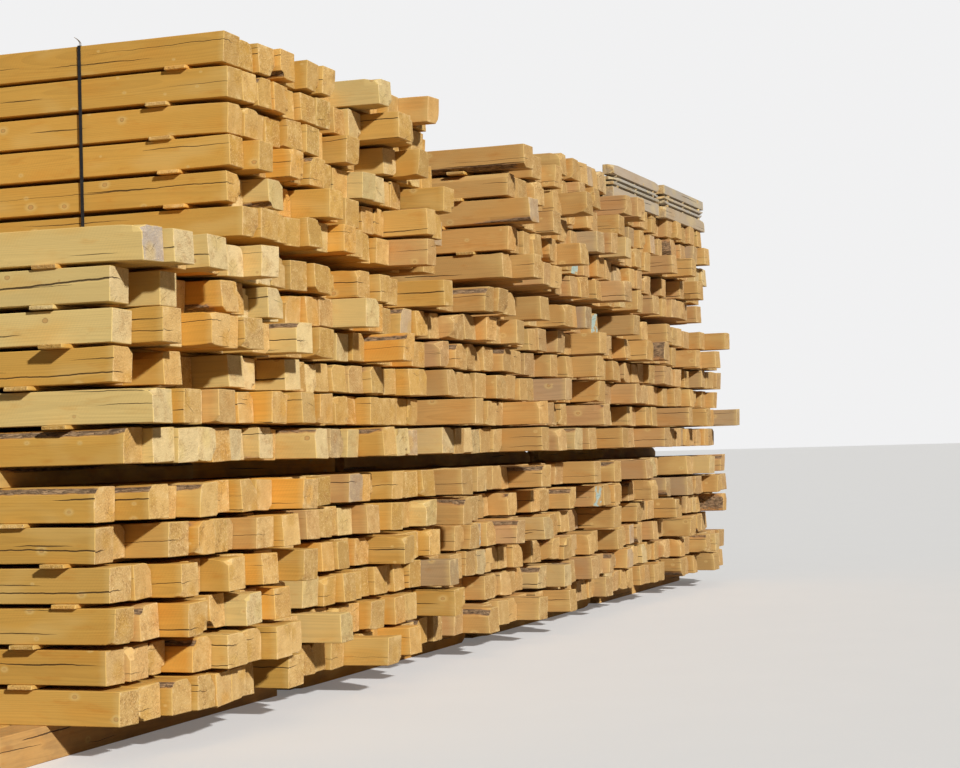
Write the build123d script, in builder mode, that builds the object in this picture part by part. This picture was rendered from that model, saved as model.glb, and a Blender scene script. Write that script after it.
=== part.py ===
from build123d import *
from dataclasses import dataclass
import os
import random

# A stack of squared timbers: three tiers of bundles, each bundle laid in courses with stickers
# between them. The row of bundles runs along X, the timbers lie along Y with the ends that were
# lined up by eye on the -Y side, and Z is up from the ground.

# Timbers
TIMBER_WIDTH = 196
TIMBER_HEIGHT = 178
TIMBER_LENGTH = 3050
WIDTH_SPREAD = 11
LENGTH_SPREAD = 22
SIDE_GAP_LEAST = 3
SIDE_GAP_MOST = 9
COURSE_SHIFT = 18

# How the ends stand in and out of the row's front line
END_SPREAD = 75
LONG_REACH = 210
LONG_REACH_SPREAD = 70
LONG_SHARE = 0.13
SHORT_REACH = 150
SHORT_SHARE = 0.13

# Waney edges: the slanting strip where the log was too small for a square corner
WANE_SHARE = 0.13
WANE_WIDTH = 46
WANE_DEPTH = 30

# Stickers between the courses
STICKER_THICKNESS = 22
STICKER_WIDTH = 140
STICKER_INSET = 400
STICKER_WANDER = 130
STICKER_OVERHANG = 32
STICKER_OVERHANG_LEAST = 14

# Bearers
BEARER_HEIGHT = 105
BEARER_WIDTH = 120
BEARER_INSET = 760
BEARER_SETBACK = 30
GROUND_BEARER_WIDTH = 200
GROUND_BEARER_INSET = 430
GROUND_BEARER_OVERHANG = 420
GROUND_BEARER_GAP = 12

# Bundles
TIER_COURSES = 6
BUNDLE_GAP = 70
TOP_TIER_SETBACK = 1627

# Strap round the first bundle of the top tier
STRAP_WIDTH = 27
STRAP_THICKNESS = 1.2
STRAP_INSET = 980
STRAP_SLACK = 0.3

# Piles of weathered timbers and boards on top
PILE_LENGTH = 1630
PILE_GAP = 20
PILE_FRONT = -40
PILE_DEPTH = 620
PILE_TIMBER_WIDTH = 105
PILE_BASE_HEIGHT = 115
PILE_CAP_HEIGHT = 90
PILE_BOARD_WIDTH = 190
PILE_BOARD_THICKNESS = 28
PILE_BOARD_GAP = 14
PILE_BOARDS_ACROSS = 3
PILE_BOARD_LAYERS = 2
PILE_SPACER_THICKNESS = 20
PILE_SPACER_WIDTH = 60
PILE_SPACERS = 3
PILE_SPACER_INSET = 160
PILE_STAGGER = 60


@dataclass
class Block:
    """A straight piece of timber lying square to the row: its low corner and its three sizes."""

    x: float
    y: float
    z: float
    width: float
    length: float
    height: float


@dataclass
class Bundle:
    """A strapped or sticker-laid bundle: its timbers, stickers and bearers, and where it stands."""

    name: str
    timbers: list
    stickers: list
    bearers: list
    left: float
    right: float
    front: float
    base: float
    top: float
    wanes: list


# What each bundle of a tier is like, from the near end of the row: timbers across, courses high,
# how far its ends stand back from the front line, and the extra room before it.
BOTTOM_TIER = [(10, TIER_COURSES, set_back, 0) for set_back in (-60, -80, -50, -95, -60, -110)]
MIDDLE_TIER = [(10, TIER_COURSES, set_back, 0) for set_back in (-80, -50, -115, -65, -130, -90)]
TOP_TIER = [(7, 6, 90, 0), (8, 6, 80, 0), (8, 5, -260, 420), (8, 6, -120, 140), (8, 5, -60, 0), (8, 5, -90, 0)]

# Where the first timbers of each course end in the near bundles, from the lowest course up, as the
# photograph shows them. More than 115 back from its neighbour, an end is lost in a dark hole.
BOTTOM_NEAR_ENDS = (
    (-50, -50, -120, -160, -160, -150),
    (20, 0, 20, -140, -240, -230),
    (-40, -60, -230, -120, -130, -250),
    (-20, -30, -190, -90, -250, -140),
    (60, 120, -140, -200, -180, -100),
    (60, -130, -60, -200, -90, -60),
)
MIDDLE_NEAR_ENDS = (
    (-110, -170, -200, -200, -170, -140),
    (-280, -150, -240, -130, -230, -120),
    (-60, 110, -110, 120, 150, 150),
    (-60, -230, -110, -290, -240, -280),
    (-60, 110, -120, 20, 60, -160),
    (-240, -300, -150, -280, -140, -170),
)
TOP_NEAR_ENDS = (
    (30, 10, 50, 60, 0, 50, -60),
    (130, 220, 50, 180, 190, -70, 60),
    (100, 10, 160, 0, 100, 50, 100),
    (110, 100, 160, 150, 90, 60, 130),
    (100, 100, 100, 90, 150, 100, 90),
    (120, 130, 90, 50, 150, 70, 50),
)

# Where the stickers of the near bundles lie back from the front line, from the lowest gap up
BOTTOM_STICKERS = (500, 470, 240, 280, 520)
MIDDLE_STICKERS = (260, 470, 250, 330, 310)
TOP_STICKERS = (460, 490, 540, 560, 430)

COURSE_PITCH = TIMBER_HEIGHT + STICKER_THICKNESS
GROUND_BEARER_HEIGHT = TIMBER_HEIGHT


def bundle_height(courses):
    return courses * COURSE_PITCH - STICKER_THICKNESS


BOTTOM_BASE = GROUND_BEARER_HEIGHT
MIDDLE_BASE = BOTTOM_BASE + bundle_height(TIER_COURSES) + BEARER_HEIGHT
TOP_BASE = MIDDLE_BASE + bundle_height(TIER_COURSES) + BEARER_HEIGHT


def end_of_timber(rng, set_back):
    """How far back one timber ends, most near the bundle's line and a few well out or in."""
    draw = rng.random()
    if draw < LONG_SHARE:
        return set_back - LONG_REACH - rng.uniform(-LONG_REACH_SPREAD, LONG_REACH_SPREAD)
    if draw < LONG_SHARE + SHORT_SHARE:
        return set_back + SHORT_REACH
    return set_back + rng.uniform(-END_SPREAD, END_SPREAD)


def lay_course(rng, left, z, across, set_back, near_ends):
    """The timbers of one course, side by side from the near side of the bundle."""
    timbers = []
    x = left + rng.uniform(0, COURSE_SHIFT)
    for place in range(across):
        width = TIMBER_WIDTH + rng.uniform(-WIDTH_SPREAD, WIDTH_SPREAD)
        length = TIMBER_LENGTH + rng.uniform(-LENGTH_SPREAD, LENGTH_SPREAD)
        end = end_of_timber(rng, set_back)
        if place < len(near_ends):
            end = near_ends[place]
        timbers.append(Block(x, end, z, width, length, TIMBER_HEIGHT))
        x += width + rng.uniform(SIDE_GAP_LEAST, SIDE_GAP_MOST)
    return timbers


def lay_stickers(rng, left, right, front, base, courses, near_places):
    """Two rows of stickers across the bundle in each gap between courses."""
    stickers = []
    for gap in range(courses - 1):
        z = base + gap * COURSE_PITCH + TIMBER_HEIGHT
        near = front + STICKER_INSET + rng.uniform(-STICKER_WANDER, STICKER_WANDER)
        if near_places is not None:
            near = near_places[gap]
        far = front + TIMBER_LENGTH - STICKER_INSET + rng.uniform(-STICKER_WANDER, STICKER_WANDER)
        for centre in (near, far):
            low = left - rng.uniform(STICKER_OVERHANG_LEAST, STICKER_OVERHANG)
            high = right + rng.uniform(STICKER_OVERHANG_LEAST, STICKER_OVERHANG)
            y = centre - STICKER_WIDTH / 2
            stickers.append(Block(low, y, z, high - low, STICKER_WIDTH, STICKER_THICKNESS))
    return stickers


def lay_bearers(left, right, front, base):
    """Two bearers under a bundle of an upper tier."""
    bearers = []
    for centre in (front + BEARER_INSET, front + TIMBER_LENGTH - BEARER_INSET):
        bearers.append(Block(left + BEARER_SETBACK, centre - BEARER_WIDTH / 2, base - BEARER_HEIGHT,
                             right - left - 2 * BEARER_SETBACK, BEARER_WIDTH, BEARER_HEIGHT))
    return bearers


def lay_ground_bearers(near_side, right, front):
    """Two pairs of lines of timbers on the ground, end to end along the row and out past its near side."""
    left = near_side - GROUND_BEARER_OVERHANG
    pair = 2 * GROUND_BEARER_WIDTH + GROUND_BEARER_GAP
    count = int((right - left) // TIMBER_LENGTH)
    step = (right - left - TIMBER_LENGTH) / (count - 1)
    bearers = []
    for start in (front + GROUND_BEARER_INSET, front + TIMBER_LENGTH - GROUND_BEARER_INSET - pair):
        for line in (start, start + GROUND_BEARER_WIDTH + GROUND_BEARER_GAP):
            for place in range(count):
                bearers.append(Block(left + place * step, line, 0, TIMBER_LENGTH,
                                     GROUND_BEARER_WIDTH, GROUND_BEARER_HEIGHT))
    return bearers


def pick_wanes(rng, timbers):
    """The timbers with a waney edge, each with the side it is on: 0 for near, 1 for far."""
    wanes = []
    for timber in timbers:
        if rng.random() < WANE_SHARE:
            wanes.append((timber, rng.randint(0, 1), rng.randint(0, 1)))
    return wanes


def lay_tier(tier_name, kinds, start, base, near_ends, near_stickers):
    """All the bundles of one tier, one after another along the row."""
    bundles = []
    left = start
    for number, (across, courses, set_back, room) in enumerate(kinds, 1):
        name = f"{tier_name}_bundle_{number}"
        rng = random.Random(name)
        left += room
        near = number == 1
        timbers = []
        for course in range(courses):
            ends = near_ends[course] if near else ()
            timbers += lay_course(rng, left, base + course * COURSE_PITCH, across, set_back, ends)
        right = max(timber.x + timber.width for timber in timbers)
        stickers = lay_stickers(rng, left, right, set_back, base, courses, near_stickers if near else None)
        bearers = lay_bearers(left, right, set_back, base)
        wanes = pick_wanes(rng, timbers)
        top = base + bundle_height(courses)
        bundles.append(Bundle(name, timbers, stickers, bearers, left, right, set_back, base, top, wanes))
        left = right + BUNDLE_GAP
    return bundles


def lay_pile(left, front, base, board_blocks, timber_blocks, spacer_blocks):
    """One pile of weathered stock along the row: base timbers, spaced board layers, a cap timber."""
    rng = random.Random(left)
    for back in (0, PILE_DEPTH - PILE_TIMBER_WIDTH):
        timber_blocks.append(Block(left + rng.uniform(0, PILE_STAGGER), front + back, base,
                                   PILE_LENGTH, PILE_TIMBER_WIDTH, PILE_BASE_HEIGHT))
    z = base + PILE_BASE_HEIGHT
    spacer_step = (PILE_LENGTH - 2 * PILE_SPACER_INSET - PILE_SPACER_WIDTH) / (PILE_SPACERS - 1)
    for layer in range(PILE_BOARD_LAYERS + 1):
        for place in range(PILE_SPACERS):
            spacer_blocks.append(Block(left + PILE_SPACER_INSET + place * spacer_step, front, z,
                                       PILE_SPACER_WIDTH, PILE_DEPTH, PILE_SPACER_THICKNESS))
        z += PILE_SPACER_THICKNESS
        if layer == PILE_BOARD_LAYERS:
            break
        for place in range(PILE_BOARDS_ACROSS):
            board_blocks.append(Block(left + rng.uniform(0, PILE_STAGGER),
                                      front + place * (PILE_BOARD_WIDTH + PILE_BOARD_GAP), z,
                                      PILE_LENGTH, PILE_BOARD_WIDTH, PILE_BOARD_THICKNESS))
        z += PILE_BOARD_THICKNESS
    timber_blocks.append(Block(left + rng.uniform(0, PILE_STAGGER), front, z,
                               PILE_LENGTH, PILE_TIMBER_WIDTH, PILE_CAP_HEIGHT))


bottom_tier = lay_tier("bottom", BOTTOM_TIER, 0, BOTTOM_BASE, BOTTOM_NEAR_ENDS, BOTTOM_STICKERS)
middle_tier = lay_tier("middle", MIDDLE_TIER, 0, MIDDLE_BASE, MIDDLE_NEAR_ENDS, MIDDLE_STICKERS)
top_tier = lay_tier("top", TOP_TIER, TOP_TIER_SETBACK, TOP_BASE, TOP_NEAR_ENDS, TOP_STICKERS)
all_bundles = bottom_tier + middle_tier + top_tier
ground_bearers = lay_ground_bearers(bottom_tier[0].left, bottom_tier[-1].right, bottom_tier[0].front)
middle_bearers = [block for bundle in middle_tier for block in bundle.bearers]
top_bearers = [block for bundle in top_tier for block in bundle.bearers]

pile_boards, pile_timbers, pile_spacers = [], [], []
pile_left = top_tier[-2].left
for carrier in top_tier[-2:]:
    lay_pile(pile_left, carrier.front + PILE_FRONT, carrier.top, pile_boards, pile_timbers, pile_spacers)
    pile_left += PILE_LENGTH + PILE_STAGGER + PILE_GAP

# The origin is on the ground, under the middle of everything
every_block = ground_bearers + pile_boards + pile_timbers + pile_spacers
for bundle in all_bundles:
    every_block += bundle.timbers + bundle.stickers
CENTRE_X = (min(b.x for b in every_block) + max(b.x + b.width for b in every_block)) / 2
CENTRE_Y = (min(b.y for b in every_block) + max(b.y + b.length for b in every_block)) / 2


def raise_blocks(blocks):
    """Draw each layer of blocks on its own plane and raise it, inside the open part."""
    for z, height in sorted({(block.z, block.height) for block in blocks}):
        with BuildSketch(Plane.XY.offset(z)) as layer:
            for block in blocks:
                if (block.z, block.height) == (z, height):
                    with Locations((block.x + block.width / 2 - CENTRE_X,
                                    block.y + block.length / 2 - CENTRE_Y)):
                        Rectangle(block.width, block.length)
        extrude(layer.sketch, amount=height)


def save(name, made):
    made.part.label = name
    export_step(made.part, f"parts/{name}.step")


os.makedirs("parts", exist_ok=True)

# The timbers of each bundle, with a waney edge cut on some
for bundle in all_bundles:
    with BuildPart() as timbers:
        raise_blocks(bundle.timbers)
        long_edges = timbers.edges().filter_by(Axis.Y)
        waney_edges = []
        for timber, side, up in bundle.wanes:
            corner = Vector(timber.x + side * timber.width - CENTRE_X,
                            timber.y + timber.length / 2 - CENTRE_Y,
                            timber.z + up * timber.height)
            waney_edges += [edge for edge in long_edges if (edge.center() - corner).length < 0.01]
        chamfer(waney_edges, WANE_DEPTH, WANE_WIDTH)
    save(bundle.name, timbers)

# Stickers, then bearers, one node for each tier
for tier_name, tier in (("bottom", bottom_tier), ("middle", middle_tier), ("top", top_tier)):
    with BuildPart() as stickers:
        raise_blocks([block for bundle in tier for block in bundle.stickers])
    save(f"{tier_name}_stickers", stickers)
for tier_name, blocks in (("ground", ground_bearers), ("middle", middle_bearers), ("top", top_bearers)):
    with BuildPart() as bearers:
        raise_blocks(blocks)
    save(f"{tier_name}_bearers", bearers)

# Two straps round the first bundle of the top tier
strapped = top_tier[0]
strap_middle_x = (strapped.left + strapped.right) / 2 - CENTRE_X
strap_middle_z = (strapped.base + strapped.top) / 2
strap_inner_width = strapped.right - strapped.left + 2 * STRAP_SLACK
strap_inner_height = strapped.top - strapped.base + 2 * STRAP_SLACK
with BuildPart() as straps:
    for back in (STRAP_INSET, TIMBER_LENGTH - STRAP_INSET):
        front = strapped.front + back - STRAP_WIDTH / 2 - CENTRE_Y
        with BuildSketch(Plane.XZ.offset(-front)):
            with Locations((strap_middle_x, strap_middle_z)):
                Rectangle(strap_inner_width + 2 * STRAP_THICKNESS, strap_inner_height + 2 * STRAP_THICKNESS)
                Rectangle(strap_inner_width, strap_inner_height, mode=Mode.SUBTRACT)
        extrude(amount=-STRAP_WIDTH)
save("straps", straps)

# The piles on top
with BuildPart() as boards:
    raise_blocks(pile_boards)
save("pile_boards", boards)
with BuildPart() as heavy_timbers:
    raise_blocks(pile_timbers)
save("pile_timbers", heavy_timbers)
with BuildPart() as spacers:
    raise_blocks(pile_spacers)
save("pile_spacers", spacers)
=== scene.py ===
import math
import random
from typing import NamedTuple

import bmesh
import bpy
import numpy as np
from mathutils import Matrix, Vector, noise


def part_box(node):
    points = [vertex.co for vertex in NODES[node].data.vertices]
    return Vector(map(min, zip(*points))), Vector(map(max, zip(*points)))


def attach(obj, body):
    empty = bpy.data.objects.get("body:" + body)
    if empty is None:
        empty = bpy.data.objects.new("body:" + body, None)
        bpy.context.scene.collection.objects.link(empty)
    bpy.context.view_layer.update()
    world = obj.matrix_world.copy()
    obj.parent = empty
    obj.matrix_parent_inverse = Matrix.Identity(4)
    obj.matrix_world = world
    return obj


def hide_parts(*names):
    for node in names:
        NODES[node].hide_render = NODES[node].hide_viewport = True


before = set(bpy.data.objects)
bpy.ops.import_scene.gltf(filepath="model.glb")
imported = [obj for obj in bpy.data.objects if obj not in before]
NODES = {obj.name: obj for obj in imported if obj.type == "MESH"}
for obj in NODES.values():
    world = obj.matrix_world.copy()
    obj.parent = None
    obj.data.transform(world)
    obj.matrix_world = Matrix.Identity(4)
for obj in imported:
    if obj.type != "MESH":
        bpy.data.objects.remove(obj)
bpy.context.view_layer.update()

bl_info = {
    "name": "Lumber Stack",
    "version": (1, 0, 0),
    "blender": (4, 5, 0),
    "location": "3D View > Sidebar > Lumber Stack",
    "description": "Dresses a stack of squared timbers with sawn wood, wane, checks, stickers and a strap",
    "category": "Object",
}

BUNDLE_NODES = sorted(name for name in NODES if "_bundle_" in name)
STICKER_NODES = sorted(name for name in NODES if name.endswith("_stickers"))
BEARER_NODES = sorted(name for name in NODES if name.endswith("_bearers"))
PILE_NODES = sorted(name for name in NODES if name.startswith("pile_"))

# The near corner of the row: the ground bearers stand out past its near side, and back from its ends
GROUND_BEARER_OVERHANG = 0.420
GROUND_BEARER_INSET = 0.370
ROW_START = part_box("ground_bearers")[0].x + GROUND_BEARER_OVERHANG
FRONT_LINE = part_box("ground_bearers")[0].y - GROUND_BEARER_INSET

# From the bottom of one course of timbers to the bottom of the next
COURSE_PITCH = 0.2

# How many times the faces of a timber are cut across and along: finest where the long sides show
FINE_GRID = (4, 20)
NEAR_GRID = (3, 10)
FAR_GRID = (2, 5)
NEAR_BUNDLES = ("bottom_bundle_2", "middle_bundle_2", "top_bundle_2", "top_bundle_3")
STICKER_GRID = (2, 3)
BEARER_GRID = (3, 12)
PILE_GRID = (3, 10)

# Half the height of a timber
HALF_HEIGHT = 0.089

# How far a waney edge is cut back and how large a chip is: the least, and what the draw adds to it
WANE_DEPTH = (0.016, 0.028)
CHIP_SIZE = (0.020, 0.035)

# How far in from the end a skewed cut and a bent tip are felt
SKEW_REACH = 0.06
TIP_REACH = 0.34

# Depth of the saw's roughness on the ends and of the wear along the edges, and how near an end a vertex is
# to move with it
END_ROUGHNESS = 0.0014
EDGE_WEAR = 0.0018
AT_END = 0.02

# How much farther the bearers between the tiers run at each end, so that no daylight shows in the gaps
BEARER_OVERRUN = 0.062

# How near two vertices are to be merged, and how flat two faces lie to be one
MERGE_DISTANCE = 1e-5
FLAT_ANGLE = math.radians(1)


def linear(red, green, blue):
    """A colour given as display values from 0 to 255, as the linear values that Blender works in."""
    values = []
    for level in (red, green, blue):
        share = level / 255
        values.append(share / 12.92 if share <= 0.04045 else ((share + 0.055) / 1.055) ** 2.4)
    return tuple(values)


# Colours that multiply the wood where it is stained
WOOD_STAIN = (0.86, 0.66, 0.44)
GREY_STAIN = (0.86, 0.84, 0.80)
HONEY_STAIN = (1.02, 0.84, 0.58)

# Colours of small features, the same on every timber. The crack colours among them are painted shade, and the
# end rim is a painted highlight.
KNOT_CORE = linear(170, 106, 50)
KNOT_RIM = linear(104, 64, 34)
# Painted shade: the dark fill of the real checks and splits on the long sides stands for the shade inside
# them
SIDE_CHECK_SHADE = linear(54, 33, 16)
SIDE_GRIME = linear(112, 92, 70)
BARK_GAPS = linear(62, 42, 32)
INNER_BARK = linear(176, 126, 84)
END_STAIN = linear(180, 130, 70)
END_PITS = linear(140, 98, 56)
END_PATCHES = linear(238, 208, 150)
END_TUFTS = linear(244, 218, 164)
# Painted highlight: the lighter rim round each end stands for light caught on its edges
END_RIM_HIGHLIGHT = linear(228, 198, 146)
# Painted shade: the dark fill of the real cracks and splits in the ends stands for the shade inside them
END_CRACK_SHADE = linear(62, 40, 22)
END_GRIME = linear(120, 100, 78)


def tint(name, description, default):
    """A colour that a user can change."""
    return bpy.props.FloatVectorProperty(name=name, description=description, default=default, size=3,
                                         subtype="COLOR")


def length(name, description, default):
    """A length that a user can change."""
    return bpy.props.FloatProperty(name=name, description=description, default=default, unit="LENGTH")


class LumberTimberLook(bpy.types.PropertyGroup):
    """Colours and sizes of the sawn timbers."""

    golden: tint("Golden", "Colour of most long sides", linear(199, 153, 71))
    pale: tint("Pale", "Colour of fresh, greenish yellow sides", linear(215, 187, 120))
    orange: tint("Orange", "Colour of resin-rich heartwood", linear(217, 158, 66))
    pinkish: tint("Pinkish", "Colour of dried pinkish tan sides", linear(196, 151, 91))
    grey: tint("Grey", "Colour of the greyed timbers in the bundles", linear(170, 148, 115))
    dusty: tint("Dusty", "Colour that the far bundles have faded towards", linear(196, 157, 120))
    weathered: tint("Weathered", "Colour of the old timbers piled on top", linear(168, 162, 150))
    end_grain: tint("End grain", "Colour of cleanly sawn ends", linear(217, 178, 115))
    cream: tint("Cream", "Colour of the ends of fresh, pale timbers", linear(225, 199, 148))
    lilac: tint("Lilac", "Colour of ends that have greyed in the weather", linear(186, 170, 152))
    daub: tint("Daub", "Colour of the dabs of paint on a few ends", linear(168, 200, 196))
    bark: tint("Bark", "Colour of the bark left on waney edges", linear(142, 116, 86))
    arris: length("Arris", "Width worn off each long edge", 0.0035)
    tip_play: length("Tip play", "How far a free end bends up or down", 0.005)
    height_loss: length("Height loss", "How much lower than the rest a scant timber is sawn", 0.008)
    end_skew: length("End skew", "How far out of square an end is cut", 0.006)
    ring_width: length("Ring width", "Width of a growth ring", 0.0065)
    saw_mark_pitch: length("Saw mark pitch", "Distance between saw marks", 0.019)


class LumberStrapLook(bpy.types.PropertyGroup):
    """Colour and sizes of the strap."""

    band: tint("Band", "Colour of the strap", linear(14, 12, 13))
    tail: tint("Tail", "Colour of the pale back of the strap's tail", linear(196, 194, 192))
    seal_length: length("Seal length", "Length of the crimped seal", 0.042)
    tail_size: length("Tail size", "Size of the loose tail's curve, a little less than its length", 0.060)


class LumberStageLook(bpy.types.PropertyGroup):
    """Floor, light and camera."""

    floor: tint("Floor", "Colour of the floor", (0.88, 0.875, 0.86))
    floor_bounce: tint("Floor bounce", "Colour of the light that the floor throws back", (0.25, 0.19, 0.13))
    sky: bpy.props.FloatProperty(
        name="Background", description="Level of the plain background", default=0.88)
    sky_light: bpy.props.FloatProperty(
        name="Sky light", description="Strength of the light from all round", default=0.095)
    key_light: bpy.props.FloatProperty(
        name="Key light", description="Strength of the main light", default=4.3)
    key_softness: bpy.props.FloatProperty(
        name="Key softness", description="Width of the main light", default=math.radians(3), subtype="ANGLE")
    lens: bpy.props.FloatProperty(
        name="Lens", description="Focal length on a 36 mm wide sensor", default=75.1)


def arithmetic(operation, swapped=False):
    """A method that joins a socket and another value in one maths node."""
    def method(self, other):
        first, second = (other, self) if swapped else (self, other)
        return self.graph.math(operation, first, second)
    return method


class Socket:
    """A shader socket that takes part in Python arithmetic."""

    __add__ = arithmetic("ADD")
    __radd__ = arithmetic("ADD", swapped=True)
    __sub__ = arithmetic("SUBTRACT")
    __rsub__ = arithmetic("SUBTRACT", swapped=True)
    __mul__ = arithmetic("MULTIPLY")
    __rmul__ = arithmetic("MULTIPLY", swapped=True)
    __truediv__ = arithmetic("DIVIDE")
    __gt__ = arithmetic("GREATER_THAN")

    def __init__(self, graph, link):
        self.graph = graph
        self.link = link

    def __abs__(self):
        return self.graph.math("ABSOLUTE", self)

    def sibling(self, output):
        """Another output of the same node."""
        return Socket(self.graph, self.link.node.outputs[output])


class Graph:
    """The nodes of a material or a world, made one call at a time."""

    def __init__(self, owner):
        self.owner = owner
        owner.use_nodes = True
        self.tree = owner.node_tree
        self.tree.nodes.clear()

    def node(self, kind, settings=None, inputs=None, output=0):
        """One node: its settings first, then the values or links of its sockets."""
        made = self.tree.nodes.new(kind)
        for key, value in (settings or {}).items():
            setattr(made, key, value)
        for key, value in (inputs or {}).items():
            if isinstance(value, Socket):
                self.tree.links.new(value.link, made.inputs[key])
            else:
                made.inputs[key].default_value = value
        return Socket(self, made.outputs[output]) if made.outputs else None

    def math(self, operation, first, second=0.0):
        return self.node("ShaderNodeMath", {"operation": operation}, {0: first, 1: second})

    def clamp(self, value):
        return self.node("ShaderNodeClamp", None, {0: value})

    def step(self, value, low, high):
        """0 below low, 1 above high and a smooth rise between them."""
        return self.node("ShaderNodeMapRange", {"interpolation_type": "SMOOTHSTEP"},
                         {"Value": value, "From Min": low, "From Max": high})

    def mix(self, factor, first, second, blend="MIX"):
        """Two colours mixed, or the first changed by the second."""
        colours = [value if isinstance(value, Socket) else (*value[:3], 1) for value in (first, second)]
        return self.node("ShaderNodeMix", {"data_type": "RGBA", "blend_type": blend},
                         {0: factor, 6: colours[0], 7: colours[1]}, 2)

    def shade(self, colour, level):
        """The colour made darker or lighter by a level near 1."""
        grey = self.node("ShaderNodeCombineColor", None, {0: level, 1: level, 2: level})
        return self.mix(1.0, colour, grey, "MULTIPLY")

    def attribute(self, name, output="Color"):
        return self.node("ShaderNodeAttribute", {"attribute_name": name}, None, output)

    def parts(self, vector):
        first = self.node("ShaderNodeSeparateXYZ", None, {0: vector})
        return first, first.sibling(1), first.sibling(2)

    def vector(self, x=0.0, y=0.0, z=0.0):
        return self.node("ShaderNodeCombineXYZ", None, {0: x, 1: y, 2: z})

    def noise(self, vector, scale, detail=2.0, roughness=0.5, dimensions="3D"):
        return self.node("ShaderNodeTexNoise", {"noise_dimensions": dimensions},
                         {"Vector": vector, "Scale": scale, "Detail": detail, "Roughness": roughness})

    def finish(self, colour, roughness, height, distance, strength=1.0, metallic=0.0, glow=None):
        """Completes a material. A glow is the colour of a light and the light's share of the surface."""
        bump = self.node("ShaderNodeBump", None,
                         {"Strength": strength, "Distance": distance, "Height": height})
        shader = self.node("ShaderNodeBsdfPrincipled", None,
                           {"Base Color": colour, "Roughness": roughness, "Normal": bump,
                            "Metallic": metallic, "Specular IOR Level": 0.28})
        if glow:
            light = self.node("ShaderNodeEmission", None, {"Color": (*glow[0], 1), "Strength": 1.0})
            shader = self.node("ShaderNodeMixShader", None, {0: glow[1], 1: shader, 2: light})
        self.node("ShaderNodeOutputMaterial", None, {0: shader})
        return self.owner


def growth_rings(g, look, gx, gy, gz, bend=0.0):
    """Darker latewood lines round the pith, wandering along the length, and the distance from the pith."""
    wander = g.noise(g.vector(gx * 3.0, gy * 0.6, gz * 3.0), 1.0, 1.0)
    radius = g.math("SQRT", gx * gx + gz * gz) + wander * 0.05
    ring = g.math("FRACT", (radius + bend) * (1.0 / look.ring_width))
    return g.step(ring, 0.30, 0.92) * (1.0 - g.step(ring, 0.94, 1.0)), radius


def scattered(g, along, across, pitch_along, pitch_across, shift):
    """One spot in each cell of an uneven grid: the way to it in metres, and three random numbers."""
    x = along * (1.0 / pitch_along)
    y = across * (1.0 / pitch_across) + shift
    cell = g.node("ShaderNodeTexVoronoi", {"voronoi_dimensions": "2D", "feature": "F1"},
                  {"Vector": g.vector(x, y), "Scale": 1.0})
    place_x, place_y, _ = g.parts(cell.sibling("Position"))
    return (x - place_x) * pitch_along, (y - place_y) * pitch_across, g.parts(cell.sibling("Color"))


def drying_checks(g, along, across, chance):
    """Cracks that wander with the grain and taper to nothing, and the noise that they wander by. The cracks
    are real, and their dark fill is painted shade.
    """
    dx, dy, (pick, lean, size) = scattered(g, along, across, 0.90, 0.120, chance * 17.0)
    wobble = g.noise(g.vector(along * 4.0, chance * 50.0), 1.0, 3.0, 0.62, "2D")
    far = dx / (0.14 + size * 0.26)
    taper = g.clamp(1.0 - far * far)
    off = abs(dy + dx * (lean - 0.5) * 0.050 + (wobble - 0.5) * 0.018)
    width = (0.0010 + pick * pick * 0.0038) * taper + 0.00001
    cracked = 0.72 - g.math("FRACT", chance * 5.0) * 0.50
    short = (1.0 - g.step(off / width, 0.5, 1.0)) * (pick > cracked)
    return short, wobble


def end_split(g, chance, from_end, up, wobble):
    """A split that runs in from the end, and the lit lip under it."""
    height, lean, reach = g.parts(g.attribute("split", "Vector"))
    taper = g.math("SQRT", g.clamp(1.0 - from_end / g.math("MAXIMUM", reach, 0.01)))
    width = (0.0004 + reach * 0.0021) * taper + 0.00001
    off = ((up - height) * HALF_HEIGHT + (wobble - 0.5) * 0.022 - from_end * lean) / width
    there = reach > 0.1
    split = (1.0 - g.step(abs(off), 0.5, 1.0)) * there
    below = 0.0 - off
    # Painted highlight: a thin band under the split, lighter as if its lip caught the light
    lip_highlight = g.step(below, 1.0, 1.5) * (1.0 - g.step(below, 1.9, 2.8)) * there
    return split, lip_highlight


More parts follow.
